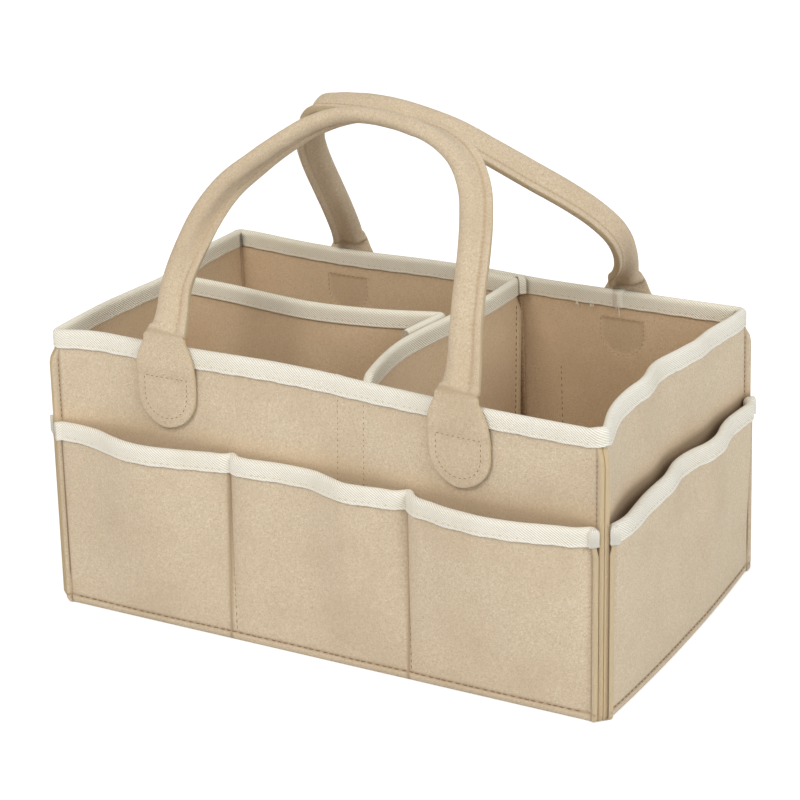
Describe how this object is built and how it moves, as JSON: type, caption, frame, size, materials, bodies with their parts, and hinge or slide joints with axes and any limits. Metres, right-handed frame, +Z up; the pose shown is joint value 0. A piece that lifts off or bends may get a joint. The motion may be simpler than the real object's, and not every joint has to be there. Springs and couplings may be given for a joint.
{
  "type": "felt storage caddy",
  "caption": "Soft felt storage caddy: open box with taped edges, outer pockets all round, swinging felt handles and a removable inner divider set.",
  "frame": {"origin": "centre of the bounding box footprint, on the surface the caddy stands on", "axes": "+X along the long side, to the right when the three-pocket front is faced; +Y from the front to the back; +Z up"},
  "size_m": [0.4034, 0.2746, 0.3272],
  "materials": {
    "felt": "matte",
    "handle_felt": "matte",
    "twill_tape": "matte",
    "cord": "matte",
    "hook_and_loop": "matte"
  },
  "bodies": {
    "caddy": {"bottom_panel": "felt", "front_wall": "felt", "front_pocket": "felt", "front_pocket_binding": "twill_tape", "right_wall": "felt", "right_pocket": "felt", "right_pocket_binding": "twill_tape", "back_wall": "felt", "back_pocket": "felt", "back_pocket_binding": "twill_tape", "left_wall": "felt", "left_pocket": "felt", "left_pocket_binding": "twill_tape", "rim_binding": "twill_tape", "front_left_tab": "handle_felt", "front_right_tab": "handle_felt", "back_left_tab": "handle_felt", "back_right_tab": "handle_felt", "front_loop": "hook_and_loop", "back_loop": "hook_and_loop", "left_loop": "hook_and_loop"},
    "front_handle": {"front_handle": "handle_felt", "front_handle_core": "cord"},
    "back_handle": {"back_handle": "handle_felt", "back_handle_core": "cord"},
    "cross_divider": {"cross_divider": "felt", "cross_front_flap": "felt", "cross_back_flap": "felt", "cross_divider_binding": "twill_tape", "cross_front_hook": "hook_and_loop", "cross_back_hook": "hook_and_loop", "cross_loop": "hook_and_loop"},
    "long_divider": {"long_divider": "felt", "long_divider_binding": "twill_tape", "long_hook": "hook_and_loop", "long_end_hook": "hook_and_loop"}
  },
  "joints": [
    {"name": "front_handle_swing", "type": "hinge", "parent": "caddy", "child": "front_handle", "pos_m": [-0.007, -0.1149, 0.193], "axis": [0.9994, -0.0338, 0], "range_deg": [0, 140]},
    {"name": "back_handle_swing", "type": "hinge", "parent": "caddy", "child": "back_handle", "pos_m": [0.00375, 0.11553, 0.193], "axis": [-1, -0.0074, 0], "range_deg": [0, 140]},
    {"name": "cross_divider_lift", "type": "slide", "parent": "caddy", "child": "cross_divider", "axis": [0, 0, 1], "range_m": [0, 0.1]},
    {"name": "long_divider_lift", "type": "slide", "parent": "caddy", "child": "long_divider", "axis": [0, 0, 1], "range_m": [0, 0.1]}
  ]
}
